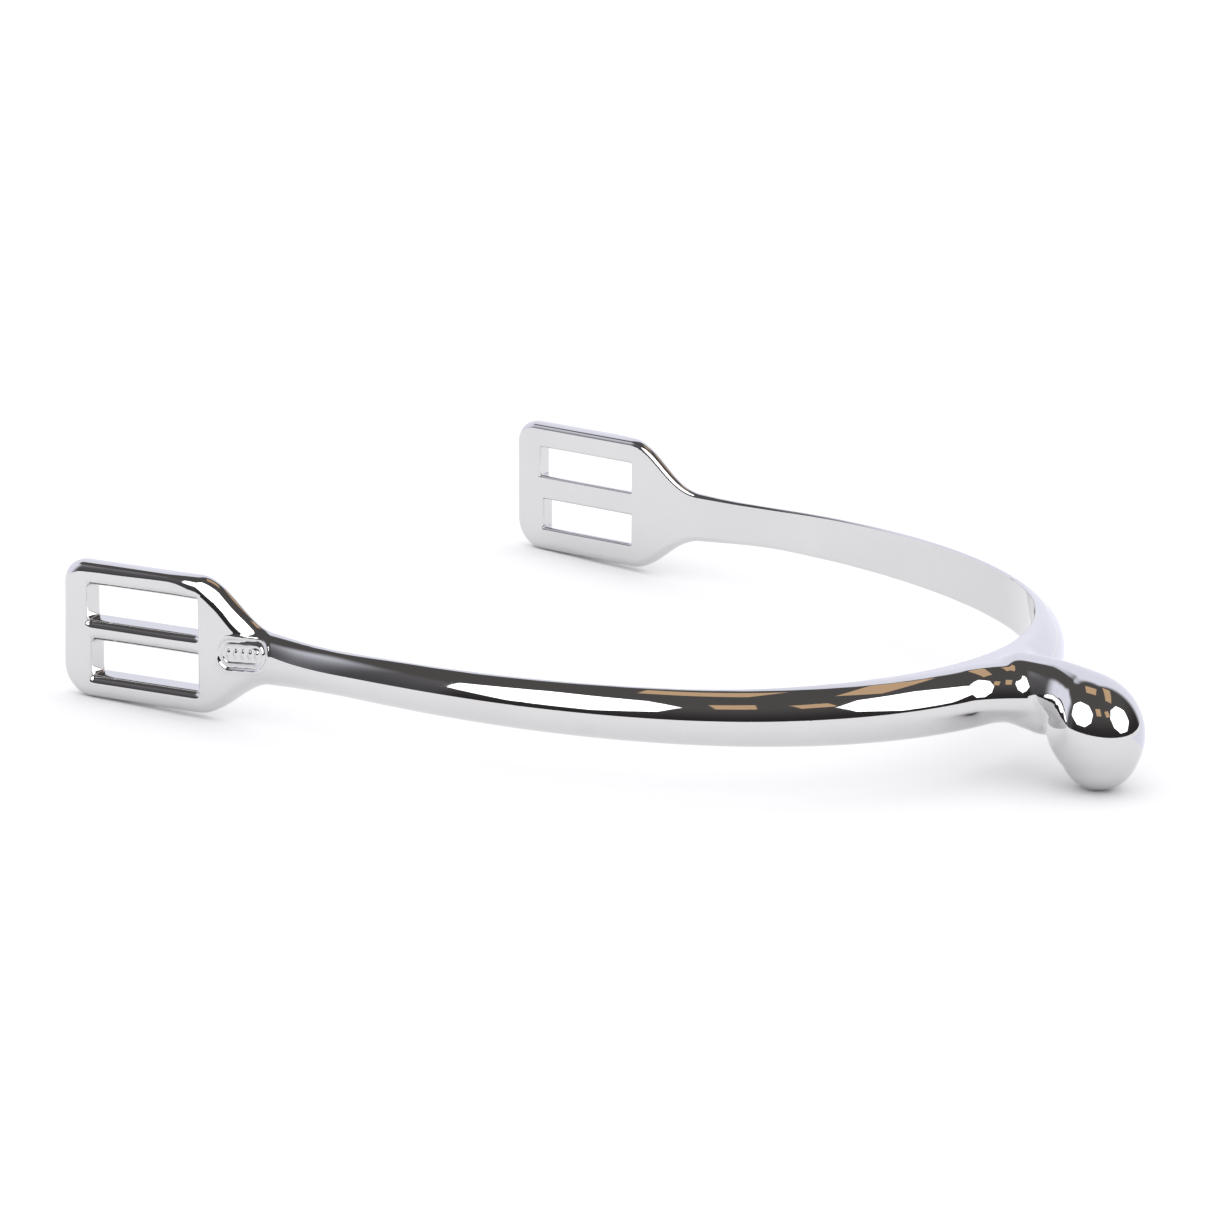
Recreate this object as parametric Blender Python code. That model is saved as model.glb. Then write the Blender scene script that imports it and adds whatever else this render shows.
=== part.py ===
"""A drop-end riding spur: a half-oval heel band, two slotted strap ends, and a neck with a drooping egg-shaped knob.

The spur is drawn unrolled first. U runs along the inner face of an arm, from the middle of the strap slots
(U = 0) back to the heel (U = ARM_LENGTH). d is the depth outwards from the inner face, and v the height.
The plan curve then bends that bar round the heel, and the whole is tipped to the pose in which it rests on
a flat surface: on the knob and on the lower front corners of both strap ends.
"""

import math

import bmesh
import bpy
import numpy as np
from mathutils import Vector

# ---------------------------------------------------------------- driving dimensions, in millimetres and degrees
ARM_LENGTH = 102.0        # along the inner face, from the middle of the slots to the middle of the heel
HEEL_X = 80.8             # the inner face of the heel, behind the middle of the slots
FLARE = 4.4               # each strap end opens outwards by this angle
BEND_RADII = (            # distance from the heel along the arm, and the bend radius of the inner face there
    (0.0, 32.0), (16.0, 38.0), (32.0, 39.0), (48.0, 66.0), (65.0, 76.0), (81.0, 110.0), (89.0, -46.0),
)
STRAIGHT_FROM = 96.0      # the strap end is straight from here on

BAND_HEIGHT_HEEL = 7.0
BAND_HEIGHT_ARM = 4.85
BAND_THICKNESS_HEEL = 4.7
BAND_THICKNESS_ARM = 2.3
BAND_TAPER = 84.0         # the band tapers over this length from the heel
BAND_INNER_EDGE = 0.7     # rounding between the inner face and the top and bottom
HEEL_DROP = 2.3           # the heel lies this much lower than the middle of the strap ends

END_HEIGHT = 15.3
END_THICKNESS = 2.3
END_FRONT = -11.0         # U of the front edge
END_CORNER_TOP = 2.7
END_CORNER_BOTTOM = 3.6
END_EDGE = 1.0            # rounding of the outer face's edges
END_INNER_EDGE = 0.8      # rounding of the inner face's edges
SHOULDER = (6.5, 16.0)    # the strap end narrows to the band between these U,
TAIL = (10.0, 28.0)       # and a little of it fades out more slowly:
TAIL_TOP = 0.1            # this share of it above
TAIL_BOTTOM = 0.2         # and this share below
CROWN = (12.0, 23.0)      # the flat outer face swells to the half-oval between these

SLOT_LENGTH = 14.4
SLOT_HEIGHT = 4.2
SLOT_OFFSET = 3.1         # from the middle of the strap end to the middle of each slot
SLOT_CORNER = 0.6

NECK_AXIS = ((82.9, -1.25), (91.5, -1.35), (95.8, -3.7), (95.5, -7.3))  # x and height of a cubic curve's handles
NECK_RADII = (3.1, 3.7, 4.35, 5.2, 4.25)                                # evenly along that curve
NECK_ROOT = ((83.0, -1.85, 3.6), (88.7, -2.7, 3.78))                    # x, height and radius: a stout stub under the neck
NECK_START = 84.4

JOINT_U = 19.0            # the strap ends are joined to the band here
GAP = 0.3                 # clearance left between joined pieces
MIDDLE_X = 44.7           # the middle of the overall length, which becomes x = 0
MM = 0.001


def smooth(t):
    t = np.clip(t, 0.0, 1.0)
    return t * t * (3 - 2 * t)


# ---------------------------------------------------------------- plan curve of the inner face
STEP = 0.1
_far = np.arange(0.0, ARM_LENGTH - END_FRONT + 3.0, STEP)      # distance from the heel
_knots = [k[0] for k in BEND_RADII] + [STRAIGHT_FROM]
_bends = np.interp(_far, _knots, [1.0 / k[1] for k in BEND_RADII] + [0.0])
_turn = np.concatenate([[0.0], np.cumsum((_bends[1:] + _bends[:-1]) / 2 * STEP)])
_turn *= math.radians(90.0 - FLARE) / _turn[-1]                # the arm turns exactly through a right angle less the flare
_head = math.pi / 2 - _turn
_mid = (_head[1:] + _head[:-1]) / 2
_px = HEEL_X - np.concatenate([[0.0], np.cumsum(np.cos(_mid) * STEP)])
_py = 0.0 - np.concatenate([[0.0], np.cumsum(np.sin(_mid) * STEP)])


def plan(far):
    """x, y and heading of the inner face, left arm, at this distance from the heel."""
    return np.interp(far, _far, _px), np.interp(far, _far, _py), np.interp(far, _far, _head)


def drop(far):
    """Height of the bar's centre line."""
    x = np.interp(far, _far, _px)
    return -HEEL_DROP * np.clip((x - 8.0) / (HEEL_X - 8.0), 0.0, 1.0) ** 1.3


def band_height(far):
    return BAND_HEIGHT_HEEL - (BAND_HEIGHT_HEEL - BAND_HEIGHT_ARM) * (np.clip(far, 0, 110) / BAND_TAPER) ** 1.3


def thickness(far):
    z = np.clip(1 - far / BAND_TAPER, 0.0, 1.0)
    return BAND_THICKNESS_ARM + (BAND_THICKNESS_HEEL - BAND_THICKNESS_ARM) * z ** 2.4


def edge_height(far, tail):
    """Distance from the centre line to the top or bottom edge."""
    u = ARM_LENGTH - far
    s = (1 - tail) * smooth((u - SHOULDER[0]) / (SHOULDER[1] - SHOULDER[0])) + tail * smooth((u - TAIL[0]) / (TAIL[1] - TAIL[0]))
    return END_HEIGHT / 2 + (band_height(far) / 2 - END_HEIGHT / 2) * s


def top_edge(far):
    return drop(far) + edge_height(far, TAIL_TOP)


def bottom_edge(far):
    return drop(far) - edge_height(far, TAIL_BOTTOM)


def half_height(far):
    return (top_edge(far) - bottom_edge(far)) / 2


def crown(far):
    """Height and depth of the rounding between the top and the outer face: small on a strap end, a half oval on the band."""
    s = smooth((ARM_LENGTH - far - CROWN[0]) / (CROWN[1] - CROWN[0]))
    return (END_EDGE + (half_height(far) - END_EDGE) * s,
            END_EDGE + (0.7 * thickness(far) - END_EDGE) * s)


def inner_edge(far):
    s = smooth((ARM_LENGTH - far - CROWN[0]) / (CROWN[1] - CROWN[0]))
    return END_INNER_EDGE + (BAND_INNER_EDGE - END_INNER_EDGE) * s


# ---------------------------------------------------------------- the bar as a field: negative inside
def round_max(a, b, r):
    both = (a > -r) & (b > -r)
    return np.where(both, np.hypot(np.maximum(a + r, 0), np.maximum(b + r, 0)) - r, np.maximum(a, b))


_slope_top = np.gradient(top_edge(_far), STEP)
_slope_bottom = np.gradient(bottom_edge(_far), STEP)


def bar(far, d, v):
    far, d, v = np.broadcast_arrays(np.asarray(far, float), d, v)
    w = thickness(far)
    top = (v - top_edge(far)) / np.hypot(1, np.interp(far, _far, _slope_top))
    bottom = (bottom_edge(far) - v) / np.hypot(1, np.interp(far, _far, _slope_bottom))
    front = END_FRONT - (ARM_LENGTH - far)
    outline = np.maximum(round_max(top, front, END_CORNER_TOP), round_max(bottom, front, END_CORNER_BOTTOM))
    av, ad = crown(far)
    p, q = (outline + av) / av, (d - w + ad) / ad
    oval = np.where((p > 0) & (q > 0), np.hypot(np.maximum(p, 0), np.maximum(q, 0)), np.maximum(p, q)) - 1
    return round_max(oval * av, -d, inner_edge(far))


# ---------------------------------------------------------------- the neck and knob as a field
_t = np.linspace(0.0, 1.0, 81)
_handles = np.array(NECK_AXIS)


def neck_at(t):
    b = np.stack([(1 - t) ** 3, 3 * t * (1 - t) ** 2, 3 * t * t * (1 - t), t ** 3], -1) @ _handles
    return b[..., 0], b[..., 1]


def neck_radius(t):
    """A smooth cubic through the five radii."""
    n = len(NECK_RADII) - 1
    r = np.array([2 * NECK_RADII[0] - NECK_RADII[1], *NECK_RADII, 2 * NECK_RADII[-1] - NECK_RADII[-2]])
    i = np.clip((t * n).astype(int), 0, n - 1)
    f = t * n - i
    a, b, c, e = r[i], r[i + 1], r[i + 2], r[i + 3]
    return 0.5 * (2 * b + (c - a) * f + (2 * a - 5 * b + 4 * c - e) * f ** 2 + (3 * b - a - 3 * c + e) * f ** 3)


def root_at(t):
    a, b = NECK_ROOT
    return a[0] + (b[0] - a[0]) * t, a[1] + (b[1] - a[1]) * t


def root_radius(t):
    return NECK_ROOT[0][2] + (NECK_ROOT[1][2] - NECK_ROOT[0][2]) * t


def swept(x, y, z, at, radius):
    """Distance to a chain of balls along a curve in the middle plane."""
    cx, cz = at(_t)
    gap = np.sqrt((x[:, None] - cx) ** 2 + y[:, None] ** 2 + (z[:, None] - cz) ** 2) - radius(_t)
    i = np.clip(gap.argmin(1), 1, len(_t) - 2)
    n = np.arange(len(x))
    a, b, c = gap[n, i - 1], gap[n, i], gap[n, i + 1]
    t = np.clip(_t[i] + 0.5 * (a - c) / np.maximum(a - 2 * b + c, 1e-9) * (_t[1] - _t[0]), 0, 1)
    cx, cz = at(t)
    return np.sqrt((x - cx) ** 2 + y ** 2 + (z - cz) ** 2) - radius(t)


def neck(x, y, z):
    return np.minimum(swept(x, y, z, neck_at, neck_radius), swept(x, y, z, root_at, root_radius))


def cast(field, start, way, reach):
    """How far along each ray the field crosses zero, by halving."""
    low, high = np.zeros(len(start)), np.full(len(start), float(reach))
    for _ in range(44):
        middle = (low + high) / 2
        inside = field(start + way * middle[:, None]) < 0
        low, high = np.where(inside, middle, low), np.where(inside, high, middle)
    return (low + high) / 2


# ---------------------------------------------------------------- rest pose
def lowest(tilt):
    """Height of the knob's lowest point less that of the front corners, when the heel is raised by the tilt."""
    t = np.linspace(0, 1, 400)
    x, z = neck_at(t)
    knob = (z * math.cos(tilt) + x * math.sin(tilt) - neck_radius(t)).min()
    far = ARM_LENGTH - END_FRONT - END_CORNER_BOTTOM
    cx = plan(far)[0]
    cz = -END_HEIGHT / 2 + END_CORNER_BOTTOM
    corner = cz * math.cos(tilt) + cx * math.sin(tilt) - END_CORNER_BOTTOM
    return knob - corner, corner


_low, _high = 0.0, math.radians(10)
for _ in range(50):
    TILT = (_low + _high) / 2
    if lowest(TILT)[0] < 0:
        _low = TILT
    else:
        _high = TILT
LIFT = -lowest(TILT)[1]


def world(x, y, z):
    """Spur coordinates in millimetres to the resting spur in metres."""
    x, y, z = np.broadcast_arrays(np.asarray(x, float), y, z)
    c, s = math.cos(TILT), math.sin(TILT)
    return np.stack([x * c - z * s - MIDDLE_X, y, x * s + z * c + LIFT], -1) * MM


def bend(far, d, v, side):
    """Unrolled coordinates to the resting spur. side is -1 for the left arm and 1 for the right one."""
    x, y, head = plan(far)
    return world(x + np.sin(head) * d, -side * (y - np.cos(head) * d), v)


# ---------------------------------------------------------------- scene
for old in list(bpy.data.objects):
    bpy.data.objects.remove(old, do_unlink=True)
parts = bpy.data.collections.new("spur")
cutters = bpy.data.collections.new("cutters")
bpy.context.scene.collection.children.link(parts)
bpy.context.scene.collection.children.link(cutters)
cutters.hide_render = True


def steel(name, color, roughness):
    material = bpy.data.materials.new(name)
    material.use_nodes = True
    shader = material.node_tree.nodes["Principled BSDF"]
    shader.inputs["Base Color"].default_value = (*color, 1)
    shader.inputs["Metallic"].default_value = 1.0
    shader.inputs["Roughness"].default_value = roughness
    return material


def add(name, mesh_data, collection, material=None):
    mesh = bpy.data.meshes.new(name)
    mesh_data.normal_update()
    bmesh.ops.recalc_face_normals(mesh_data, faces=mesh_data.faces)
    mesh_data.to_mesh(mesh)
    mesh_data.free()
    if material:
        mesh.materials.append(material)
    obj = bpy.data.objects.new(name, mesh)
    collection.objects.link(obj)
    if collection is cutters:
        obj.hide_render = True
        obj.display_type = "WIRE"
    else:
        mesh.shade_smooth()
        mesh.set_sharp_from_angle(angle=math.radians(35))
    return obj


def loft(rings):
    """Skin rings of equal counts, and close both ends."""
    mesh = bmesh.new()
    rows = [[mesh.verts.new(p) for p in ring] for ring in rings]
    for one, two in zip(rows, rows[1:]):
        for i in range(len(one)):
            j = (i + 1) % len(one)
            mesh.faces.new((one[i], one[j], two[j], two[i]))
    mesh.faces.new(rows[0])
    mesh.faces.new(rows[-1][::-1])
    return mesh


def cut(target, cutter):
    modifier = target.modifiers.new("cut_" + cutter.name, "BOOLEAN")
    modifier.operation = "DIFFERENCE"
    modifier.solver = "EXACT"
    modifier.object = cutter


# ---------------------------------------------------------------- sections of the bar
def guide(far, corner_steps, oval_steps):
    """A closed outline of the section in d and v, drawn from its laws: it sets where the points of a section go."""
    c, hh, w = float(top_edge(far) + bottom_edge(far)) / 2, float(half_height(far)), float(thickness(far))
    ahead = (ARM_LENGTH - far) - END_FRONT
    cut_top = END_CORNER_TOP - math.sqrt(max(0.0, END_CORNER_TOP ** 2 - max(0.0, END_CORNER_TOP - ahead) ** 2))
    cut_low = END_CORNER_BOTTOM - math.sqrt(max(0.0, END_CORNER_BOTTOM ** 2 - max(0.0, END_CORNER_BOTTOM - ahead) ** 2))
    av, ad = (float(a) for a in crown(far))
    r = float(inner_edge(far))
    half = []
    for i in range(corner_steps + 1):                       # from the inner face round to the top
        a = math.pi / 2 * i / corner_steps
        half.append((r - r * math.cos(a), hh - r + r * math.sin(a)))
    for i in range(oval_steps + 1):                         # from the top round to the outer face
        a = math.pi / 2 * i / oval_steps
        half.append((w - ad + ad * math.sin(a), hh - av + av * math.cos(a)))
    upper = [(d, c + (v - cut_top if v > hh - max(av, r) - 0.01 else v)) for d, v in half]
    lower = [(d, c - (v - cut_low if v > hh - max(av, r) - 0.01 else v)) for d, v in half]
    ring = upper + lower[::-1]
    return np.array(ring)


def section(far, corner_steps, oval_steps, grow=0.0):
    """Points of the bar's surface, or of one grown by a clearance, in d and v."""
    ring = guide(far, corner_steps, oval_steps)
    centre = np.array([float(thickness(far)) / 2, float(top_edge(far) + bottom_edge(far)) / 2])
    way = ring - centre
    way /= np.linalg.norm(way, axis=1)[:, None]
    start = np.repeat(centre[None], len(ring), 0)
    reach = cast(lambda p: bar(far, p[:, 0], p[:, 1]) - grow, start, way, 14.0)
    return start + way * reach[:, None]


def rings_along(distances, side, corner_steps, oval_steps, grow=0.0):
    out = []
    for far in distances:
        s = section(abs(far), corner_steps, oval_steps, grow)
        hand = side if side else (-1 if far < 0 else 1)
        out.append(bend(abs(far), s[:, 0], s[:, 1], hand))
    return out


# ---------------------------------------------------------------- heel band
reach = ARM_LENGTH - JOINT_U - GAP / 2
count = 30
half = [reach * (i / count) ** 1.05 for i in range(1, count + 1)]
stations = [-f for f in half[::-1]] + [0.0] + half
add("heel_band", loft(rings_along(stations, 0, 3, 7)), parts, steel("heel_band", (0.80, 0.80, 0.82), 0.07))

# ---------------------------------------------------------------- strap ends
front = [0.03, 0.12, 0.3, 0.6, 1.0, 1.6, 2.3, 3.0]
ends = [ARM_LENGTH - END_FRONT - e for e in front]
ends += [ARM_LENGTH - u for u in (0.0, SHOULDER[0])]
joint = ARM_LENGTH - JOINT_U + GAP / 2
n = 13
ends += [ARM_LENGTH - SHOULDER[0] - (JOINT_U - GAP / 2 - SHOULDER[0]) * (i / n) for i in range(1, n)] + [joint]

for name, side in (("left_strap_end", -1), ("right_strap_end", 1)):
    end = add(name, loft(rings_along(ends, side, 3, 5)), parts, steel(name, (0.80, 0.80, 0.82), 0.08))
    for label, height in (("upper", SLOT_OFFSET), ("lower", -SLOT_OFFSET)):
        box = bmesh.new()
        bmesh.ops.create_cube(box, size=1.0)
        bmesh.ops.scale(box, vec=(SLOT_LENGTH, 8.0, SLOT_HEIGHT), verts=box.verts)
        through = [e for e in box.edges if abs(e.verts[0].co.y - e.verts[1].co.y) > 1.0]
        bmesh.ops.bevel(box, geom=through, offset=SLOT_CORNER, segments=3, affect="EDGES", profile=0.5)
        for vert in box.verts:
            u, deep, v = vert.co
            vert.co = Vector(bend(ARM_LENGTH - u, deep + END_THICKNESS / 2, v + height, side).tolist())
        cut(end, add(f"{name}_{label}_slot", box, cutters))

# ---------------------------------------------------------------- neck and knob
axis_end = np.array([95.2, 0.0, -5.6])                       # the knob is seen all round from here
axis_start = np.array([NECK_START, 0.0, -1.3])
along = axis_end - axis_start
length = float(np.linalg.norm(along))
along /= length
across = np.array([0.0, 1.0, 0.0])
over = np.cross(along, across)
around = 32
turn = np.linspace(0, 2 * math.pi, around, endpoint=False)
spokes = np.cos(turn)[:, None] * across + np.sin(turn)[:, None] * over


def on_neck(start, way):
    start = np.repeat(start[None], len(way), 0)
    r = cast(lambda p: neck(p[:, 0], p[:, 1], p[:, 2]), start, way, 16.0)
    p = start + way * r[:, None]
    return world(p[:, 0], p[:, 1], p[:, 2])


rings = [on_neck(axis_start + along * length * i / 8, spokes) for i in range(9)]
caps = 12
for i in range(1, caps):
    a = math.pi / 2 * i / caps
    rings.append(on_neck(axis_end, spokes * math.cos(a) + along * math.sin(a)))
knob = loft(rings)
knob.verts.ensure_lookup_table()
knob.faces.ensure_lookup_table()
tip = knob.faces[-1]                                          # the last ring closes on one point at the tip
centre = knob.verts.new(Vector(on_neck(axis_end, along[None])[0].tolist()))
rim = list(tip.verts)
bmesh.ops.delete(knob, geom=[tip], context="FACES_ONLY")
for i in range(len(rim)):
    knob.faces.new((rim[i], rim[(i + 1) % len(rim)], centre))
knob = add("neck_and_knob", knob, parts, steel("neck_and_knob", (0.80, 0.80, 0.82), 0.06))

saddle = [10.5 * i / 9 for i in range(-9, 10)]
cut(knob, add("heel_saddle", loft(rings_along(saddle, 0, 3, 9, GAP)), cutters))
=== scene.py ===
"""The looks of the drop-end riding spur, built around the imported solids.

Each visible piece is skinned from the spur's own laws, finely enough for a mirror polish: the strap ends with eased
slots, the half-oval band, and the neck and knob flowing out of the heel.
"""
import math

import bmesh
import bpy
import numpy as np
from mathutils import Matrix, Vector

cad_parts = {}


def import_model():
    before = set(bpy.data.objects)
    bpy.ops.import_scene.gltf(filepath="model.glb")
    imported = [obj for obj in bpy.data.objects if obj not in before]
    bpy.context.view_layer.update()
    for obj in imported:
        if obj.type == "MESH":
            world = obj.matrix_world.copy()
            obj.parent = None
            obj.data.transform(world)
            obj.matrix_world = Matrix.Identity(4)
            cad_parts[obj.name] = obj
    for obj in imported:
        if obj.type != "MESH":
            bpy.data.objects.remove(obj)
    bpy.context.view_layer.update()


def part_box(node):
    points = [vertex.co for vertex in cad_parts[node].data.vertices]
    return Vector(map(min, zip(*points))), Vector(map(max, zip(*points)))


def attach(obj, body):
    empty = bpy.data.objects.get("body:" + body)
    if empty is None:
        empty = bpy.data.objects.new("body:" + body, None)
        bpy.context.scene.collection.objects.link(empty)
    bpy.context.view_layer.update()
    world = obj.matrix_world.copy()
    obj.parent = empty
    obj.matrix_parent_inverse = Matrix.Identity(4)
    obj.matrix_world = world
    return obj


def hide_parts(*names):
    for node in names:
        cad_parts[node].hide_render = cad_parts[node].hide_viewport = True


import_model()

# ---------------------------------------------------------------- the spur's laws, in millimetres
ARM_LENGTH = 102.0        # along the inner face, from the middle of the slots to the middle of the heel
HEEL_X = 80.8
FLARE = 4.4
BEND_RADII = (
    (0.0, 32.0), (16.0, 38.0), (32.0, 39.0), (48.0, 66.0), (65.0, 76.0), (81.0, 110.0), (89.0, -46.0),
)
STRAIGHT_FROM = 96.0
BAND_HEIGHT_HEEL = 7.0
BAND_HEIGHT_ARM = 4.85
BAND_THICKNESS_HEEL = 4.7
BAND_THICKNESS_ARM = 2.3
BAND_TAPER = 84.0
BAND_SWELL = ((0.0, 0.0), (20.0, 0.0), (52.0, 0.55), (84.0, 0.0))        # more depth outside
BAND_HOLLOW = ((0.0, 0.0), (12.0, 0.0), (34.0, 0.75), (52.0, 0.88), (64.0, 0.82), (78.0, 0.6), (90.0, 0.0))   # less inside
BAND_INNER_EDGE = 0.4
HEEL_DROP = 2.3
END_HEIGHT = 15.3
END_THICKNESS = 2.3
END_FRONT = -11.0
END_CORNER_TOP = 2.7
END_CORNER_BOTTOM = 3.6
EDGE_TOP = ((-11.0, 1.5, 1.15), (-5.0, 1.3, 1.05), (3.0, 1.1, 1.0), (9.0, 2.8, 1.8), (14.0, 3.1, 1.95), (20.0, 3.3, 2.0))
EDGE_BOTTOM = ((-11.0, 1.0, 1.0), (6.0, 1.0, 1.0), (14.0, 1.7, 1.2), (20.0, 2.2, 1.5))
END_INNER_EDGE = 0.8
CROWN_RADIUS = ((0.0, 4.25), (10.0, 4.2), (40.0, 3.64), (64.0, 3.6), (84.0, 4.2))
CROWN_APEX = ((0.0, -0.25), (10.0, -0.25), (36.0, -0.3), (60.0, -0.33), (70.0, -0.45), (84.0, -0.7))
CROWN_EDGE_TOP = 0.25
CROWN_EDGE_BOTTOM = 0.85
TOP_EASE = ((0.0, 0.0), (26.0, 0.0), (46.0, 0.08), (66.0, 0.0), (80.0, -0.25), (90.0, 0.0))
SHOULDER = (6.5, 16.0)
TAIL = (10.0, 28.0)
TAIL_TOP = 0.1
TAIL_BOTTOM = 0.2
CROWN = (9.0, 27.0)
SLOT_LENGTH = 14.4
SLOT_HEIGHT = 4.2
SLOT_OFFSET = 3.1
SLOT_CORNER = 0.45
SLOT_BACK = 0.3           # the slots' rear ends stop this much short of the solids'
SLOT_FRONT = 0.5          # the upper slots' front ends go this much further than the solids'
SLOT_EDGE = (0.35, 0.85)  # the slots' edges are eased by this much inside and outside, which the solids leave square
SLOT_END_EDGE = 0.3       # and by this much at their two ends
SLOT_DRAFT = 0.45         # the slots narrow by this much a side towards the boot
NECK_AXIS = ((82.9, -1.25), (91.5, -1.35), (95.8, -3.7), (95.5, -7.3))
NECK_RADII = (3.1, 3.7, 4.35, 5.2, 4.25)
NECK_ROOT = ((83.0, -1.85, 3.6), (88.7, -2.7, 3.78))
NECK_FLANK = 0.76
NECK_FROM = 2.6           # the neck grows out of the band from this depth
SWEEP = 5.2               # radius of the hollow sweep from the band's back into the neck's sides
SWEEP_SIDE = (90.0, 2.9, 0.11)    # where, half the neck's width there, and how fast it widens towards the knob
JOINT_U = 19.0
JOINT_D = 4.95            # the neck is joined to the heel here
MIDDLE_X = 44.7
MM = 0.001


def smooth(t):
    t = np.clip(t, 0.0, 1.0)
    return t * t * (3 - 2 * t)


STEP = 0.1
_far = np.arange(0.0, ARM_LENGTH - END_FRONT + 3.0, STEP)
_knots = [k[0] for k in BEND_RADII] + [STRAIGHT_FROM]
_bends = np.interp(_far, _knots, [1.0 / k[1] for k in BEND_RADII] + [0.0])
_turn = np.concatenate([[0.0], np.cumsum((_bends[1:] + _bends[:-1]) / 2 * STEP)])
_bends *= math.radians(90.0 - FLARE) / _turn[-1]
_turn *= math.radians(90.0 - FLARE) / _turn[-1]
_head = math.pi / 2 - _turn
_mid = (_head[1:] + _head[:-1]) / 2
_px = HEEL_X - np.concatenate([[0.0], np.cumsum(np.cos(_mid) * STEP)])
_py = 0.0 - np.concatenate([[0.0], np.cumsum(np.sin(_mid) * STEP)])


def fine(table):
    """Passes a smooth curve through a table spaced by STEP, so that a mirror finish shows no facets."""
    slope = np.gradient(table, STEP)

    def at(far):
        i = np.clip((far / STEP).astype(int), 0, len(table) - 2)
        f = far / STEP - i
        a, b, m, n = table[i], table[i + 1], slope[i] * STEP, slope[i + 1] * STEP
        return (2 * f ** 3 - 3 * f ** 2 + 1) * a + (f ** 3 - 2 * f ** 2 + f) * m + (3 * f ** 2 - 2 * f ** 3) * b + (f ** 3 - f ** 2) * n
    return at


plan_x, plan_y, plan_head, plan_bend = fine(_px), fine(_py), fine(_head), fine(_bends)


def between(table, x, column=1):
    """Eases from each row of a table to the next."""
    xs, ys = np.array([row[0] for row in table]), np.array([row[column] for row in table])
    i = np.clip(np.searchsorted(xs, x, "right") - 1, 0, len(xs) - 2)
    return ys[i] + (ys[i + 1] - ys[i]) * smooth((x - xs[i]) / (xs[i + 1] - xs[i]))


def eased(table):
    """The same, evened out along the arm until its bends are gradual too."""
    values = between(table, _far)
    for _ in range(3):
        values = np.convolve(np.pad(values, 30, "edge"), np.ones(61) / 61, "valid")
    return fine(values)


_swell, _hollow = eased(BAND_SWELL), eased(BAND_HOLLOW)


def drop(far):
    return -HEEL_DROP * np.clip((plan_x(far) - 8.0) / (HEEL_X - 8.0), 0.0, 1.0) ** 1.3


def band_height(far):
    return BAND_HEIGHT_HEEL - (BAND_HEIGHT_HEEL - BAND_HEIGHT_ARM) * (np.clip(far, 0, 110) / BAND_TAPER) ** 1.3


def thickness(far):
    z = np.clip(1 - np.sqrt(far ** 2 + 4.0) / BAND_TAPER, 0.0, 1.0)
    return BAND_THICKNESS_ARM + (BAND_THICKNESS_HEEL - BAND_THICKNESS_ARM) * z ** 2.4 + _swell(far)


def edge_height(far, tail):
    u = ARM_LENGTH - far
    s = (1 - tail) * smooth((u - SHOULDER[0]) / (SHOULDER[1] - SHOULDER[0])) + tail * smooth((u - TAIL[0]) / (TAIL[1] - TAIL[0]))
    return END_HEIGHT / 2 + (band_height(far) / 2 - END_HEIGHT / 2) * s


def top_edge(far):
    return drop(far) + edge_height(far, TAIL_TOP) + between(TOP_EASE, far)


def bottom_edge(far):
    return drop(far) - edge_height(far, TAIL_BOTTOM)


def half_height(far):
    return (top_edge(far) - bottom_edge(far)) / 2


def crowned(gap, rise, bend):
    """Distance from a face that's bent into an arc upright: gap is measured square to the face at its crown."""
    gap = np.maximum(gap, -1 / bend)
    return (2 * gap + bend * (gap ** 2 + rise ** 2)) / (1 + np.hypot(1 + bend * gap, bend * rise))


def inner_edge(far):
    s = smooth((ARM_LENGTH - far - CROWN[0]) / (CROWN[1] - CROWN[0]))
    return END_INNER_EDGE + (BAND_INNER_EDGE - END_INNER_EDGE) * s


def round_max(a, b, r):
    both = (a > -r) & (b > -r)
    return np.where(both, np.hypot(np.maximum(a + r, 0), np.maximum(b + r, 0)) - r, np.maximum(a, b))


_slope_top = fine(np.gradient(top_edge(_far), STEP))
_slope_bottom = fine(np.gradient(bottom_edge(_far), STEP))


_radius, _apex = eased(CROWN_RADIUS), eased(CROWN_APEX)


def apex(far):
    return (top_edge(far) + bottom_edge(far)) / 2 + _apex(far)


def bar(far, d, v):
    w = thickness(far)
    u = ARM_LENGTH - far
    top = (v - top_edge(far)) / np.hypot(1, _slope_top(far))
    bottom = (bottom_edge(far) - v) / np.hypot(1, _slope_bottom(far))
    front = END_FRONT - u
    above, below = round_max(top, front, END_CORNER_TOP), round_max(bottom, front, END_CORNER_BOTTOM)
    outline = np.maximum(above, below)
    up = smooth((v + 4) / 8)                                 # the strap end: a flat plate with eased edges
    av = between(EDGE_BOTTOM, u) * (1 - up) + between(EDGE_TOP, u) * up
    ad = between(EDGE_BOTTOM, u, 2) * (1 - up) + between(EDGE_TOP, u, 2) * up
    p, q = (outline + av) / av, (d - w + ad) / ad
    plate = np.where((p > 0) & (q > 0), np.hypot(np.maximum(p, 0), np.maximum(q, 0)), np.maximum(p, q)) - 1
    rise = v - apex(far)                                     # the arm: an arc outside, a sharper edge on top than below
    arc = crowned(d - w, rise, 1 / _radius(far))
    arm = np.where(rise > 0, round_max(arc, above, CROWN_EDGE_TOP), round_max(arc, below, CROWN_EDGE_BOTTOM))
    s = smooth((u - CROWN[0]) / (CROWN[1] - CROWN[0]))
    return round_max(plate * av * (1 - s) + arm * s, _hollow(far) - d, inner_edge(far))


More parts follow.
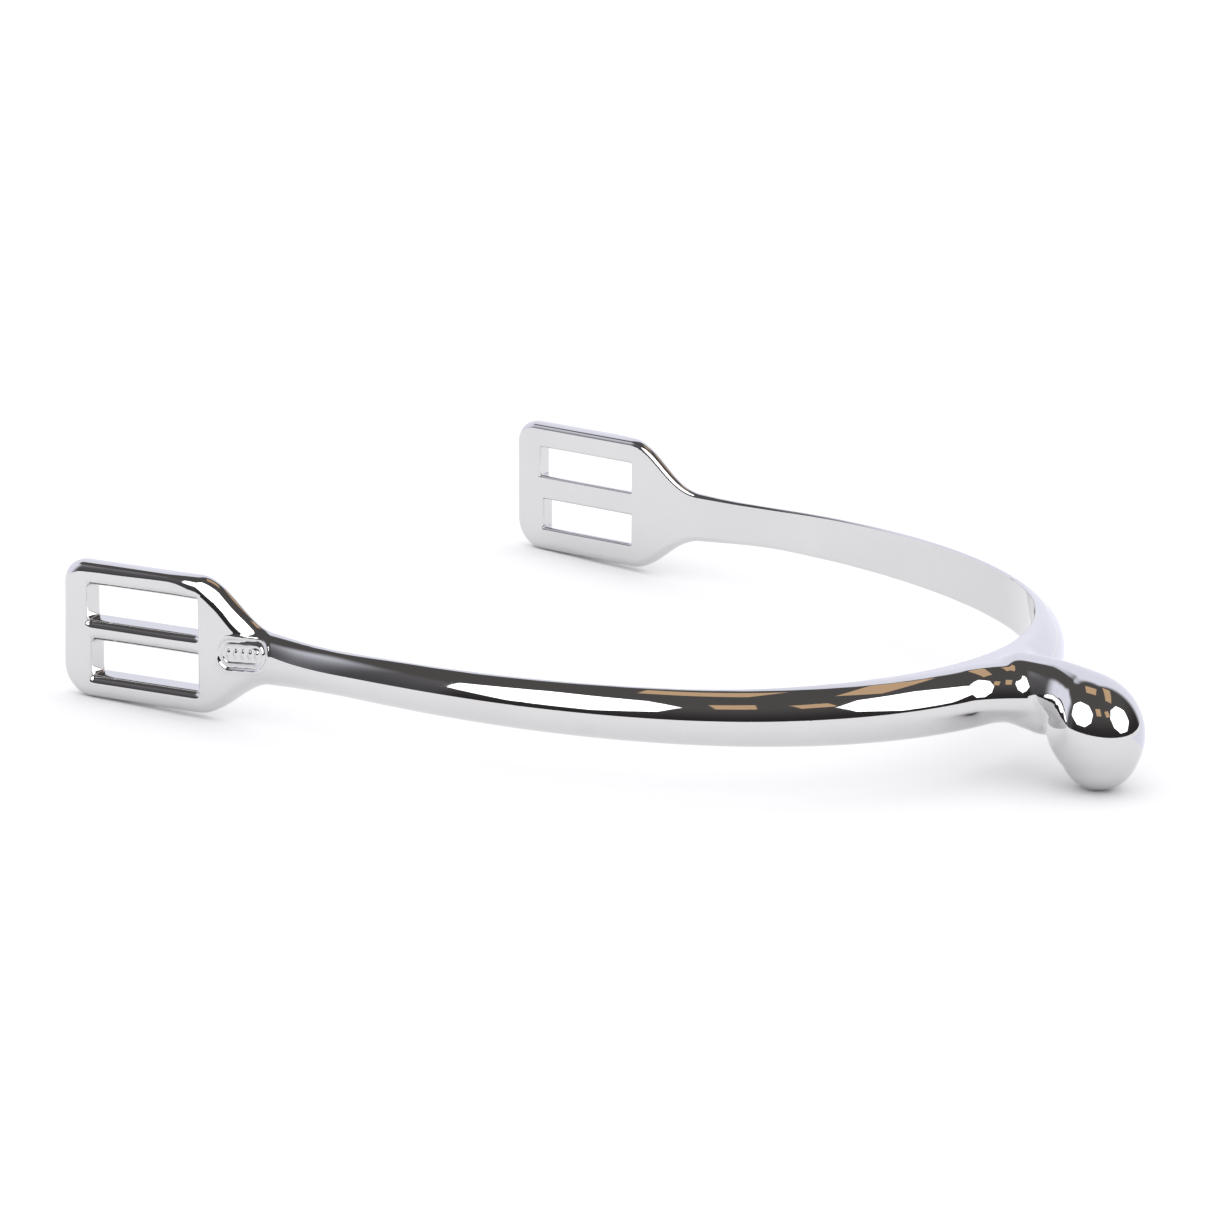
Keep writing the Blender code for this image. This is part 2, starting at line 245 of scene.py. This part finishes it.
def slots(far, v):
    """How far outside the nearer strap slot, seen square on: negative in the slot. Then 1 at its ends, 0 along it."""
    front = SLOT_FRONT * smooth(v)
    u = np.abs(ARM_LENGTH - far + (SLOT_BACK + front) / 2) - (SLOT_LENGTH - SLOT_BACK + front) / 2
    w = np.abs(np.abs(v) - SLOT_OFFSET) - SLOT_HEIGHT / 2
    return round_max(u, w, SLOT_CORNER), smooth((u - w + 0.25) / 0.6)


# ---------------------------------------------------------------- neck and knob
_t = np.linspace(0.0, 1.0, 61)
_handles = np.array(NECK_AXIS)


def neck_at(t):
    b = np.stack([(1 - t) ** 3, 3 * t * (1 - t) ** 2, 3 * t * t * (1 - t), t ** 3], -1) @ _handles
    return b[..., 0], b[..., 1]


def neck_radius(t):
    n = len(NECK_RADII) - 1
    r = np.array([2 * NECK_RADII[0] - NECK_RADII[1], *NECK_RADII, 2 * NECK_RADII[-1] - NECK_RADII[-2]])
    i = np.clip((t * n).astype(int), 0, n - 1)
    f = t * n - i
    a, b, c, e = r[i], r[i + 1], r[i + 2], r[i + 3]
    return 0.5 * (2 * b + (c - a) * f + (2 * a - 5 * b + 4 * c - e) * f ** 2 + (3 * b - a - 3 * c + e) * f ** 3)


def root_at(t):
    a, b = NECK_ROOT
    return a[0] + (b[0] - a[0]) * t, a[1] + (b[1] - a[1]) * t


def root_radius(t):
    return NECK_ROOT[0][2] + (NECK_ROOT[1][2] - NECK_ROOT[0][2]) * t


def swept(x, y, z, at, radius):
    cx, cz = at(_t)
    gap = np.sqrt((x[:, None] - cx) ** 2 + y[:, None] ** 2 + (z[:, None] - cz) ** 2) - radius(_t)
    i = np.clip(gap.argmin(1), 1, len(_t) - 2)
    n = np.arange(len(x))
    t = _t[i]
    h = _t[1] - _t[0]
    a, b, c = gap[n, i - 1], gap[n, i], gap[n, i + 1]
    t = np.clip(t + 0.5 * (a - c) / np.maximum(a - 2 * b + c, 1e-9) * h, 0, 1)
    for _ in range(3):                                       # settle on the nearest ball
        g = []
        for k in (-1, 0, 1):
            tk = np.clip(t + k * h * 0.1, 0, 1)
            cx, cz = at(tk)
            g.append(np.sqrt((x - cx) ** 2 + y ** 2 + (z - cz) ** 2) - radius(tk))
        bend2 = g[0] - 2 * g[1] + g[2]
        move = np.where(bend2 > 1e-12, 0.5 * (g[0] - g[2]) / np.maximum(bend2, 1e-12), 0)
        t = np.clip(t + np.clip(move, -5, 5) * h * 0.1, 0, 1)
    cx, cz = at(t)
    return np.sqrt((x - cx) ** 2 + y ** 2 + (z - cz) ** 2) - radius(t)


def smooth_min(a, b, k):
    h = np.maximum(k - np.abs(a - b), 0) / k
    return np.minimum(a, b) - h * h * h * k / 6


# ---------------------------------------------------------------- rest pose
def lowest(tilt):
    t = np.linspace(0, 1, 400)
    x, z = neck_at(t)
    knob = (z * math.cos(tilt) + x * math.sin(tilt) - neck_radius(t)).min()
    far = ARM_LENGTH - END_FRONT - END_CORNER_BOTTOM
    cx = float(np.interp(far, _far, _px))
    cz = -END_HEIGHT / 2 + END_CORNER_BOTTOM
    corner = cz * math.cos(tilt) + cx * math.sin(tilt) - END_CORNER_BOTTOM
    return knob - corner, corner


_low, _high = 0.0, math.radians(10)
for _ in range(50):
    TILT = (_low + _high) / 2
    if lowest(TILT)[0] < 0:
        _low = TILT
    else:
        _high = TILT
LIFT = -lowest(TILT)[1]


ORNAMENT = (12.9, -0.15)  # along and up the left strap end's outer face
ORNAMENT_SIZE = (3.35, 1.62)
ORNAMENT_SLOPE = 0.08
ORNAMENT_SUNK = 0.2


def ornament(s, d, v):
    """A shallow sunk panel with round ends, a fine raised rim and a row of beads. The left end has it, outside."""
    change = np.zeros(s.shape)
    here = (np.abs(ARM_LENGTH - s - ORNAMENT[0]) < 4.4) & (d > 0.9) & (np.abs(v - ORNAMENT[1]) < 3.6)
    if here.any():
        du = ARM_LENGTH - s[here] - ORNAMENT[0]
        dv = v[here] - ORNAMENT[1] - ORNAMENT_SLOPE * du
        half = ORNAMENT_SIZE[0] - ORNAMENT_SIZE[1]
        r = np.hypot(np.maximum(np.abs(du) - half, 0), dv) - ORNAMENT_SIZE[1]
        sunk = ORNAMENT_SUNK * smooth((0.15 - r) / 0.3)
        rim = 0.06 * np.exp(-((r - 0.32) / 0.18) ** 2)
        beads = 0.12 * np.exp(-((r + 0.55) / 0.13) ** 2)
        for c in (-2.0, -1.0, 0.0, 1.0, 2.0):
            b = (du - c) ** 2 / 0.3 ** 2 + dv ** 2 / 0.62 ** 2
            beads += 0.2 * np.where(b < 1, (1 - np.minimum(b, 1)) ** 1.2, 0)
        change[here] = (sunk - rim - beads) * smooth((d[here] - 0.9) / 0.4)
    return change


# ---------------------------------------------------------------- the whole spur as one field over s, d and v
def level(p):
    """s runs round the inner face, left arm positive; negative inside the metal."""
    s, d, v = p[..., 0], p[..., 1], p[..., 2]
    far = np.abs(s)
    f = bar(far, d, v)
    gap, end = slots(far, v)
    edge = SLOT_EDGE[0] + (SLOT_EDGE[1] - SLOT_EDGE[0]) * smooth((d - 0.5) / 1.0)
    edge = edge + (SLOT_END_EDGE - edge) * end
    f = round_max(f, -SLOT_DRAFT * (1 - np.clip(d / END_THICKNESS, 0, 1)) - gap, edge)
    f = f + ornament(s, d, v)
    near = far < 15.0
    if near.any():
        x, y = plan_x(far[near]), plan_y(far[near])
        head, deep, z = plan_head(far[near]), d[near], v[near]
        x, y = x + np.sin(head) * deep, y - np.cos(head) * deep
        wide = deep - thickness(far[near])
        side = np.abs(y) - SWEEP_SIDE[1] - SWEEP_SIDE[2] * (x - SWEEP_SIDE[0])
        rise = z - apex(far[near])
        hollow = 0.9 + (SWEEP - 0.9) * smooth((rise + 3.5) / 2.8)             # the sweep closes to a crease underneath
        web = crowned(-round_max(-wide, -side, hollow), rise, 1 / _radius(far[near]))
        over = CROWN_EDGE_TOP + 2.0 * smooth(wide / 3.0)                      # its top edge rounds off into the neck
        web = np.where(rise > 0, round_max(web, z - top_edge(far[near]), over),
                       round_max(web, bottom_edge(far[near]) - z, CROWN_EDGE_BOTTOM))
        web = round_max(round_max(web, x - 92.0, 0.3), 1.0 - deep, 0.3)
        flank = 1 - (1 - NECK_FLANK) * (1 - smooth((x - 90.3) / 4.5)) * smooth((z + 7.5) / 5.5)   # slim above, full below
        n = np.minimum(swept(x, y / flank, z, neck_at, neck_radius), swept(x, y / flank, z, root_at, root_radius))
        n = round_max(n, NECK_FROM - deep, 2.0)
        k = 0.5 + 0.5 * smooth((z + 5.2) / 2.4) + 0.7 * smooth((z - 0.6) / 1.0)
        f[near] = smooth_min(np.minimum(f[near], web), n, k)
    return f


def slope(p, e=2e-4):
    g = np.zeros_like(p)
    for i in range(3):
        a, b = p.copy(), p.copy()
        a[:, i] += e
        b[:, i] -= e
        g[:, i] = (level(a) - level(b)) / (2 * e)
    return g


def settle(p, times):
    """Moves points onto the surface along its slope."""
    for _ in range(times):
        f, g = level(p), slope(p)
        p = p - np.clip(f / np.maximum((g ** 2).sum(1), 0.05), -0.3, 0.3)[:, None] * g
    return p


def untangle(field):
    """Where a cell's side is a checkerboard of metal and air, moves its nearest corner across the surface.

    Then every edge of the skin lies between exactly two faces."""
    for _ in range(8):
        found, inside = 0, field < 0
        for axis in range(3):
            j, k = [i for i in range(3) if i != axis]
            sides = []
            for dj, dk in ((0, 0), (1, 0), (1, 1), (0, 1)):
                o = [slice(None)] * 3
                o[j], o[k] = slice(dj, field.shape[j] - 1 + dj), slice(dk, field.shape[k] - 1 + dk)
                sides.append(inside[tuple(o)])
            for cell in np.array(np.nonzero((sides[0] == sides[2]) & (sides[1] == sides[3]) & (sides[0] != sides[1]))).T:
                ring = []
                for dj, dk in ((0, 0), (1, 0), (1, 1), (0, 1)):
                    at = cell.copy()
                    at[j] += dj
                    at[k] += dk
                    ring.append(tuple(at))
                signs = [field[at] < 0 for at in ring]
                if signs[0] == signs[2] and signs[1] == signs[3] and signs[0] != signs[1]:
                    at = min(ring, key=lambda q: abs(field[q]))
                    field[at] = -1e-6 if field[at] >= 0 else 1e-6
                    found += 1
        if not found:
            break


def skin(axes):
    """Surface nets: one point in each cell that the surface crosses, and a four-sided face across each crossed edge."""
    xs, ys, zs = axes
    field = np.full((len(xs), len(ys), len(zs)), 9.0)
    slab_y, slab_z = ys < 5.6, (zs > -8.4) & (zs < 8.4)
    for i0 in range(0, len(xs), 40):
        block = np.stack(np.meshgrid(xs[i0:i0 + 40], ys, zs, indexing="ij"), -1)
        near = np.abs(xs[i0:i0 + 40]).min() < 14
        if near:
            field[i0:i0 + 40] = level(block.reshape(-1, 3)).reshape(block.shape[:3])
        else:
            part = block[:, slab_y][:, :, slab_z]
            got = level(part.reshape(-1, 3)).reshape(part.shape[:3])
            field[i0:i0 + 40, :slab_y.sum(), np.where(slab_z)[0][0]:np.where(slab_z)[0][-1] + 1] = got
    untangle(field)
    inside = field < 0
    nx, ny, nz = (n - 1 for n in field.shape)
    count = np.zeros((nx, ny, nz), np.int8)
    for a in (0, 1):
        for b in (0, 1):
            for c in (0, 1):
                count += inside[a:a + nx, b:b + ny, c:c + nz]
    mixed = (count > 0) & (count < 8)
    ix, iy, iz = np.nonzero(mixed)
    number = np.full(mixed.shape, -1, np.int64)
    number[mixed] = np.arange(len(ix))
    total, hits = np.zeros((len(ix), 3)), np.zeros(len(ix))
    corners = [(a, b, c) for a in (0, 1) for b in (0, 1) for c in (0, 1)]
    for a in corners:
        for axis in range(3):
            if a[axis]:
                continue
            b = tuple(v + (1 if i == axis else 0) for i, v in enumerate(a))
            fa = field[ix + a[0], iy + a[1], iz + a[2]]
            fb = field[ix + b[0], iy + b[1], iz + b[2]]
            cross = (fa < 0) != (fb < 0)
            t = np.where(cross, fa / np.where(cross, fa - fb, 1), 0)
            pa = np.stack([xs[ix + a[0]], ys[iy + a[1]], zs[iz + a[2]]], 1)
            pb = np.stack([xs[ix + b[0]], ys[iy + b[1]], zs[iz + b[2]]], 1)
            total += np.where(cross[:, None], pa + (pb - pa) * t[:, None], 0)
            hits += cross
    points = total / hits[:, None]
    quads = []
    for axis in range(3):
        o = [slice(None)] * 3
        e = [slice(None)] * 3
        o[axis], e[axis] = slice(0, -1), slice(1, None)
        change = inside[tuple(o)] != inside[tuple(e)]
        start = inside[tuple(o)]
        j, k = [i for i in range(3) if i != axis]
        at = np.array(np.nonzero(change)).T
        at = at[(at[:, j] > 0) & (at[:, k] > 0) & (at[:, j] < mixed.shape[j]) & (at[:, k] < mixed.shape[k])]
        flip = start[at[:, 0], at[:, 1], at[:, 2]]
        ring = []
        for dj, dk in ((0, 0), (-1, 0), (-1, -1), (0, -1)):
            c = at.copy()
            c[:, j] += dj
            c[:, k] += dk
            ring.append(number[c[:, 0], c[:, 1], c[:, 2]])
        ring = np.stack(ring, 1)
        turn = flip if axis != 1 else ~flip
        ring[~turn] = ring[~turn][:, ::-1]
        quads.append(ring)
    return points, np.concatenate(quads)


def relax(points, quads, times):
    """Evens the spacing out, staying on the surface."""
    a = np.concatenate([quads[:, i] for i in range(4)])
    b = np.concatenate([quads[:, (i + 1) % 4] for i in range(4)])
    for _ in range(times):
        total = np.zeros_like(points)
        hits = np.bincount(a, minlength=len(points)) + np.bincount(b, minlength=len(points))
        for i in range(3):
            total[:, i] = np.bincount(a, points[b, i], len(points)) + np.bincount(b, points[a, i], len(points))
        points = points + (total / hits[:, None] - points) * 0.5
        points = settle(points, 1)
    return points


def world(p):
    """s, d, v in millimetres to the resting spur in metres."""
    far = np.abs(p[:, 0])
    x, y, head = plan_x(far), plan_y(far), plan_head(far)
    side = np.where(p[:, 0] < 0, 1.0, -1.0)
    x, y, z = x + np.sin(head) * p[:, 1], -side * (y - np.cos(head) * p[:, 1]), p[:, 2]
    c, s = math.cos(TILT), math.sin(TILT)
    return np.stack([x * c - z * s - MIDDLE_X, y, x * s + z * c + LIFT], 1) * MM


def facing(p):
    """The surface's true direction at each point, in the resting spur."""
    g = slope(p)
    far = np.abs(p[:, 0])
    head, bend = plan_head(far), plan_bend(far)
    sign = np.where(p[:, 0] < 0, -1.0, 1.0)
    along = g[:, 0] * sign / (1 + bend * p[:, 1])            # towards the strap end
    gx = -np.cos(head) * along + np.sin(head) * g[:, 1]
    gy = -np.sin(head) * along - np.cos(head) * g[:, 1]      # left arm, which lies at -y
    gy = gy * sign
    gz = g[:, 2]
    c, s = math.cos(TILT), math.sin(TILT)
    n = np.stack([gx * c - gz * s, gy, gx * s + gz * c], 1)
    return n / np.linalg.norm(n, axis=1)[:, None]


# ---------------------------------------------------------------- materials
def nodes_of(name):
    material = bpy.data.materials.new(name)
    material.use_nodes = True
    tree = material.node_tree
    return material, tree, tree.nodes["Principled BSDF"]


def node(tree, kind, **values):
    made = tree.nodes.new(kind)
    for key, value in values.items():
        if key in made.inputs:
            made.inputs[key].default_value = value
        else:
            setattr(made, key, value)
    return made


def chrome(name):
    """Mirror-polished steel: a hand-polished waviness, hairline scratches, and a faint satin where it's handled less."""
    material, tree, shader = nodes_of(name)
    link = tree.links.new
    place = node(tree, "ShaderNodeTexCoord")
    shader.inputs["Metallic"].default_value = 1.0
    shader.inputs["Specular Tint"].default_value = (1.0, 1.0, 1.0, 1.0)

    cloud = node(tree, "ShaderNodeTexNoise", Scale=130.0, Detail=4.0, Roughness=0.55)
    link(place.outputs["Object"], cloud.inputs["Vector"])
    tone = node(tree, "ShaderNodeValToRGB")
    tone.color_ramp.elements[0].position, tone.color_ramp.elements[1].position = 0.25, 0.75
    tone.color_ramp.elements[0].color = (0.635, 0.632, 0.640, 1)
    tone.color_ramp.elements[1].color = (0.665, 0.662, 0.668, 1)
    link(cloud.outputs["Fac"], tone.inputs["Fac"])
    link(tone.outputs["Color"], shader.inputs["Base Color"])

    wipe = node(tree, "ShaderNodeMapping")
    wipe.inputs["Scale"].default_value = (300.0, 1500.0, 4200.0)
    wipe.inputs["Rotation"].default_value = (0.15, 0.1, 0.35)
    link(place.outputs["Object"], wipe.inputs["Vector"])
    hair = node(tree, "ShaderNodeTexNoise", Scale=1.0, Detail=3.0, Roughness=0.6)
    link(wipe.outputs["Vector"], hair.inputs["Vector"])
    lines = node(tree, "ShaderNodeMapRange")
    lines.inputs["From Min"].default_value, lines.inputs["From Max"].default_value = 0.62, 0.78
    lines.inputs["To Min"].default_value, lines.inputs["To Max"].default_value = 0.0, 1.0
    link(hair.outputs["Fac"], lines.inputs["Value"])

    rough = node(tree, "ShaderNodeMapRange")
    rough.inputs["To Min"].default_value, rough.inputs["To Max"].default_value = 0.02, 0.05
    link(cloud.outputs["Fac"], rough.inputs["Value"])
    more = node(tree, "ShaderNodeMath", operation="MULTIPLY_ADD")
    more.inputs[1].default_value = 0.05
    link(lines.outputs["Result"], more.inputs[0])
    link(rough.outputs["Result"], more.inputs[2])
    link(more.outputs["Value"], shader.inputs["Roughness"])

    wave = node(tree, "ShaderNodeTexNoise", Scale=260.0, Detail=2.0, Roughness=0.5)
    link(place.outputs["Object"], wave.inputs["Vector"])
    bump = node(tree, "ShaderNodeBump")
    bump.inputs["Strength"].default_value = 1.0
    bump.inputs["Distance"].default_value = 0.0000035
    link(wave.outputs["Fac"], bump.inputs["Height"])
    scratch = node(tree, "ShaderNodeBump")
    scratch.inputs["Strength"].default_value = 1.0
    scratch.inputs["Distance"].default_value = 0.0000004
    link(lines.outputs["Result"], scratch.inputs["Height"])
    link(bump.outputs["Normal"], scratch.inputs["Normal"])
    link(scratch.outputs["Normal"], shader.inputs["Normal"])
    return material


# ---------------------------------------------------------------- the spur's meshes
def spaced(stretches):
    """Grid lines: each stretch is (from, to, spacing)."""
    lines = []
    for a, b, step in stretches:
        n = max(1, round((b - a) / step))
        lines += [a + (b - a) * i / n for i in range(n)]
    return np.array(lines + [stretches[-1][1]])


grid = (spaced(((-114.3, 84.2, 0.3), (84.2, 92.6, 0.12), (92.6, 114.3, 0.3))),
        spaced(((-0.77, 20.9, 0.25),)),
        spaced(((-14.4, -2.6, 0.25), (-2.6, 2.6, 0.13), (2.6, 9.1, 0.25))))
points, quads = skin(grid)
points = settle(points, 3)
points = relax(points, quads, 2)
points = settle(points, 2)


def part_of(points, quads):
    """One mesh in unrolled space, cut at the joints, and where the knob begins, into closed pieces that meet exactly."""
    mesh = bmesh.new()
    verts = [mesh.verts.new(p) for p in points]
    for q in quads.tolist():
        mesh.faces.new([verts[i] for i in q])
    for co, no in (((-(ARM_LENGTH - JOINT_U), 0, 0), (1, 0, 0)), ((ARM_LENGTH - JOINT_U, 0, 0), (1, 0, 0)), ((0, JOINT_D, 0), (0, 1, 0)),
                   ((0, KNOB_D, 0), (0, 1, 0))):
        bmesh.ops.bisect_plane(mesh, geom=mesh.verts[:] + mesh.edges[:] + mesh.faces[:], dist=1e-5, plane_co=co, plane_no=no)
    mesh.verts.index_update()
    co = np.array([v.co for v in mesh.verts])
    faces = [[v.index for v in f.verts] for f in mesh.faces]
    mesh.free()
    return co, faces


KNOB_D = 8.4              # the knob begins this far out
unrolled, faces = part_of(points, quads)
placed = world(unrolled)
normals = facing(unrolled)
middle = np.array([unrolled[f].mean(0) for f in faces])
joint = ARM_LENGTH - JOINT_U
choice = np.select([middle[:, 1] > KNOB_D, middle[:, 1] > JOINT_D, middle[:, 0] > joint, middle[:, 0] < -joint], [4, 3, 1, 2], 0)


def piece(name, which, replaced):
    keep = np.where(choice == which)[0]
    used = np.unique(np.concatenate([faces[i] for i in keep]))
    number = {int(v): i for i, v in enumerate(used)}
    mesh = bmesh.new()
    verts = [mesh.verts.new(placed[v]) for v in used]
    for i in keep:
        mesh.faces.new([verts[number[v]] for v in faces[i]])
    skin_faces = len(mesh.faces)
    rim = [e for e in mesh.edges if e.is_boundary]
    bmesh.ops.holes_fill(mesh, edges=rim, sides=0)
    bmesh.ops.recalc_face_normals(mesh, faces=mesh.faces)
    mesh.faces.ensure_lookup_table()
    data = bpy.data.meshes.new(name)
    caps = [f.index for f in mesh.faces][skin_faces:]
    mesh.to_mesh(data)
    mesh.free()
    data.shade_smooth()
    own = normals[used]
    custom = np.zeros((len(data.loops), 3))
    loop_vert = np.zeros(len(data.loops), np.int64)
    data.loops.foreach_get("vertex_index", loop_vert)
    custom[:] = own[loop_vert]
    for face in list(data.polygons)[skin_faces:]:
        for loop in face.loop_indices:
            custom[loop] = face.normal
    data.normals_split_custom_set(custom.tolist())
    data.materials.append(chrome(name + "_steel"))
    made = bpy.data.objects.new(name + "_polished", data)
    bpy.context.scene.collection.objects.link(made)
    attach(made, "root")
    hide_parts(replaced)
    return made


pieces = [piece("heel_band", 0, "heel_band"), piece("left_strap_end", 1, "left_strap_end"),
          piece("right_strap_end", 2, "right_strap_end"), piece("neck", 3, "neck_and_knob"), piece("knob", 4, "neck_and_knob")]
pieces[4].visible_glossy = False         # no second knob is mirrored in the band beside it

# ---------------------------------------------------------------- studio
AHEAD = math.radians(146.27)          # the compass direction from the spur to the camera
centre = (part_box("neck_and_knob")[0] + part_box("left_strap_end")[1]) / 2


def toward(turn, up):
    """A unit direction, from degrees to the right of the camera's direction as seen from above, and degrees up."""
    a, e = AHEAD + math.radians(turn), math.radians(up)
    return Vector((math.sin(a) * math.cos(e), math.cos(a) * math.cos(e), math.sin(e)))


def glow(name, color, strength):
    material = bpy.data.materials.new(name)
    material.use_nodes = True
    tree = material.node_tree
    tree.nodes.clear()
    out = tree.nodes.new("ShaderNodeOutputMaterial")
    lamp = tree.nodes.new("ShaderNodeEmission")
    lamp.inputs["Color"].default_value = (*color, 1)
    lamp.inputs["Strength"].default_value = strength
    tree.links.new(lamp.outputs[0], out.inputs["Surface"])
    return material


def staged(name, verts, faces, material, lights=False):
    data = bpy.data.meshes.new(name)
    data.from_pydata([tuple(v) for v in verts], [], faces)
    data.materials.append(material)
    made = bpy.data.objects.new(name, data)
    bpy.context.scene.collection.objects.link(made)
    made.visible_camera = False
    made.visible_shadow = False
    made.visible_diffuse = lights
    return made


def card(name, turn, up, wide, high, distance, material, sides=4, spin=0.0, lights=False):
    """A flat panel seen from the spur in that direction, with those angular sizes in degrees."""
    way = toward(turn, up)
    right = way.cross(Vector((0, 0, 1))).normalized()
    above = right.cross(way)
    w, h = math.tan(math.radians(wide / 2)) * distance, math.tan(math.radians(high / 2)) * distance
    verts = []
    for i in range(sides):
        a = 2 * math.pi * (i + 0.5) / sides + math.radians(spin)
        k = 1 / math.cos(math.pi / sides)
        verts.append(Vector((0.02, 0.0, 0.01)) + way * distance + right * (w * k * math.cos(a)) + above * (h * k * math.sin(a)))
    return staged(name, verts, [list(range(sides))], material, lights)


white = glow("softbox_cloth", (1.0, 1.0, 1.0), 3.0)
card("softbox_one", -65.5, 26.5, 43, 41, 0.9, white, 8)
card("softbox_two", 34.0, 35.0, 43, 44, 0.9, white, 8)
tan = glow("tan_panel", (0.74, 0.50, 0.30), 1.0)
card("panel_long", -99.0, 63.0, 30, 11, 1.2, tan)
card("panel_near", -36.0, 41.7, 9, 11, 1.2, tan)
card("panel_far", -11.0, 46.0, 10, 14, 1.2, tan)
card("panel_above", -170.0, 88.0, 16, 16, 1.2, tan)


def smoothstep(a, b, x):
    t = np.clip((x - a) / (b - a), 0, 1)
    return t * t * (3 - 2 * t)


def dome():
    """The dim room, and the pale paper hung behind the spur: seen only in the polish."""
    turns, ups = np.radians(np.arange(-180, 180.1, 1.5)), np.radians(np.arange(-6, 90.1, 1.5))
    verts, faces_, colors = [], [], []
    for u in ups:
        for t in turns:
            verts.append(toward(math.degrees(t), math.degrees(u)) * 2.5)
            t_, u_ = math.degrees(t), math.degrees(u)
            # the paper: from 77 degrees round behind to -126, and up to about 68 degrees
            behind = (t_ + 360) % 360                      # 77 .. 234
            left = 0.05 * smoothstep(50, 58, behind) + 0.95 * smoothstep(70, 95, behind)
            right = 1 - smoothstep(226, 243, behind + 0.0045 * max(0.0, u_) ** 2)
            hem = 38 + 27 * smoothstep(100, 138, behind)
            top = 1 - smoothstep(hem - 5, hem + 5, u_)
            paper = float(left * right * top)
            low = float(smoothstep(0, 45, u_))
            dark = np.array([0.034, 0.030, 0.031]) * (1 - low) + np.array([0.106, 0.099, 0.097]) * low
            pale = np.array([1.03, 1.045, 1.16])
            colors.append(dark * (1 - paper) + pale * paper)
    n = len(turns)
    for i in range(len(ups) - 1):
        for j in range(n - 1):
            faces_.append([i * n + j, i * n + j + 1, (i + 1) * n + j + 1, (i + 1) * n + j])
    material = bpy.data.materials.new("room")
    material.use_nodes = True
    tree = material.node_tree
    tree.nodes.clear()
    out, lamp = tree.nodes.new("ShaderNodeOutputMaterial"), tree.nodes.new("ShaderNodeEmission")
    shade = tree.nodes.new("ShaderNodeVertexColor")
    shade.layer_name = "shade"
    tree.links.new(shade.outputs["Color"], lamp.inputs["Color"])
    tree.links.new(lamp.outputs[0], out.inputs["Surface"])
    made = staged("room", verts, faces_, material)
    layer = made.data.color_attributes.new("shade", "FLOAT_COLOR", "POINT")
    layer.data.foreach_set("color", np.c_[np.array(colors), np.ones(len(colors))].astype(np.float32).ravel())
    return made


dome()

# the paper's foot, seen only in the heel's far side
foot = glow("paper_foot", (1.03, 1.045, 1.16), 1.0)
staged("paper_foot", [(0.012, 0.045, 0.0006), (0.048, 0.012, 0.0006), (0.11, 0.03, 0.0006), (0.11, 0.4, 0.0006), (-0.12, 0.4, 0.0006), (-0.015, 0.12, 0.0006)],
       [[0, 1, 2, 3, 4, 5]], foot)

floor_data = bpy.data.meshes.new("floor")
ring = [(3.0 * math.cos(2 * math.pi * i / 96), 3.0 * math.sin(2 * math.pi * i / 96), 0.0) for i in range(96)]
floor_data.from_pydata(ring, [], [list(range(96))])
floor = bpy.data.objects.new("floor", floor_data)
bpy.context.scene.collection.objects.link(floor)
paper, tree, shader = nodes_of("pale_floor")
shader.inputs["Base Color"].default_value = (0.862, 0.855, 0.868, 1)
shader.inputs["Roughness"].default_value = 0.9
shader.inputs["Specular IOR Level"].default_value = 0.0
floor_data.materials.append(paper)

world_ = bpy.data.worlds.new("studio")
bpy.context.scene.world = world_
world_.use_nodes = True
world_.node_tree.nodes["Background"].inputs["Color"].default_value = (1.0, 1.0, 1.0, 1)
world_.node_tree.nodes["Background"].inputs["Strength"].default_value = 1.32
bpy.context.scene.view_settings.view_transform = "Standard"

# ---------------------------------------------------------------- camera
lens = bpy.data.cameras.new("camera")
lens.lens = 232.13
lens.sensor_width = 36.0
lens.clip_start, lens.clip_end = 0.01, 20.0
camera = bpy.data.objects.new("camera", lens)
bpy.context.scene.collection.objects.link(camera)
right = Vector((0.8187431, 0.57322716, 0.0327163))
up = Vector((-0.17570289, 0.19589494, 0.96475576))
back = Vector((0.54661524, -0.79563547, 0.2611053))
camera.matrix_world = Matrix((
    (right.x, up.x, back.x, 0.46158429), (right.y, up.y, back.y, -0.69126139), (right.z, up.z, back.z, 0.23525872), (0, 0, 0, 1)))
bpy.context.scene.camera = camera
